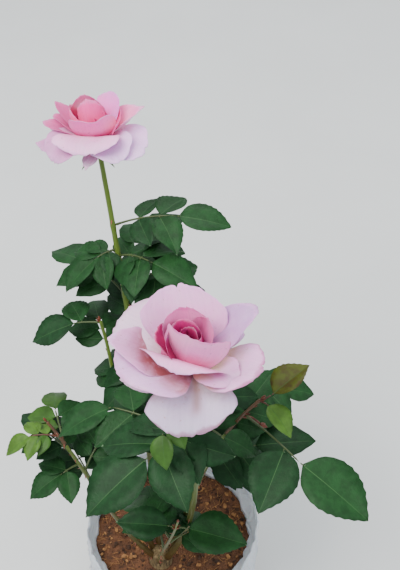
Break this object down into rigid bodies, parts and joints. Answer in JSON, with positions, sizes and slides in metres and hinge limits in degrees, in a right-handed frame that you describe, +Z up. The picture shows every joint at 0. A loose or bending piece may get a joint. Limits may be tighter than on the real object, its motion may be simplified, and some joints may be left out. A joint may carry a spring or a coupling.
{
  "type": "rose bush",
  "caption": "Potted rose bush with pale pink double blooms, compound green leaves and slim canes, in a white film grow bag filled with brown coir.",
  "frame": {"origin": "middle of the grow bag's flat underside, on the ground", "axes": "+Z up the bush, -Y toward the front, where the lower bloom leans out, +X to the right seen from the front"},
  "size_m": [0.3237, 0.3666, 0.6301],
  "materials": {
    "film": "matt white plastic film, soft folds",
    "coir": "loose brown coir chips and fibre",
    "bark": "rough grey brown bark",
    "cane": "smooth green cane with thorns",
    "leaf": "semi glossy dark green leaf",
    "petal": "soft velvety pink petal"
  },
  "bodies": {
    "root": {"grow_bag": "film", "coir": "coir", "trunk": "bark", "cane_front": "cane", "cane_rear": "cane", "cane_left": "cane", "cane_right": "cane", "cane_back_right": "cane", "cane_back_left": "cane", "cane_low": "cane", "foliage_front": "leaf", "foliage_rear": "leaf", "foliage_left": "leaf", "foliage_right": "leaf", "foliage_back_right": "leaf", "foliage_back_left": "leaf", "foliage_low": "leaf", "bloom_front": "petal", "bloom_rear": "petal"}
  },
  "joints": []
}
